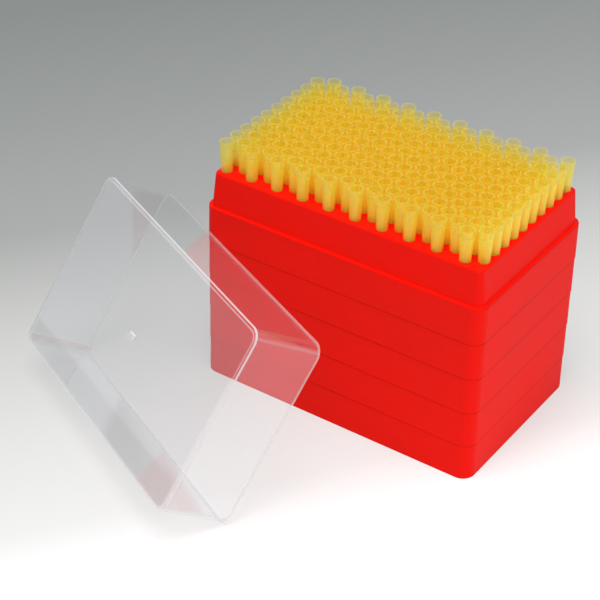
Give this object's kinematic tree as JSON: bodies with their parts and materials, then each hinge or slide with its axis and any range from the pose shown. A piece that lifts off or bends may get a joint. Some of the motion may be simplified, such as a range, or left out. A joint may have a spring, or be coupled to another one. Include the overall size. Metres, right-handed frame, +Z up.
{
  "type": "box of pipette tips",
  "caption": "Stack of nested racks of pipette tips with a clear cover leaning on it; it stands on a bench and keeps tips ready to be picked up by a pipette.",
  "frame": {"origin": "centre of the stack's footprint, on the surface that it stands on", "axes": "+Z up, +X along the racks' long side, +Y along their short side, away from the cover"},
  "size_m": [0.2185, 0.2108, 0.1275],
  "materials": {
    "rack": "satin moulded polypropylene, opaque red",
    "tip": "translucent yellow moulded polypropylene",
    "cover": "clear moulded polystyrene, polished"
  },
  "bodies": {
    "root": {"rack_1": "rack", "rack_2": "rack", "rack_3": "rack", "rack_4": "rack", "rack_5": "rack", "nested_tips_1": "tip", "nested_tips_2": "tip", "nested_tips_3": "tip", "nested_tips_4": "tip", "tip_column_01": "tip", "tip_column_02": "tip", "tip_column_03": "tip", "tip_column_04": "tip", "tip_column_05": "tip", "tip_column_06": "tip", "tip_column_07": "tip", "tip_column_08": "tip", "tip_column_09": "tip", "tip_column_10": "tip", "tip_column_11": "tip", "tip_column_12": "tip", "tip_column_13": "tip", "tip_column_14": "tip", "tip_column_15": "tip", "tip_column_16": "tip", "tip_column_17": "tip", "tip_column_18": "tip", "tip_column_19": "tip", "tip_column_20": "tip", "clear_cover": "cover"}
  },
  "joints": []
}
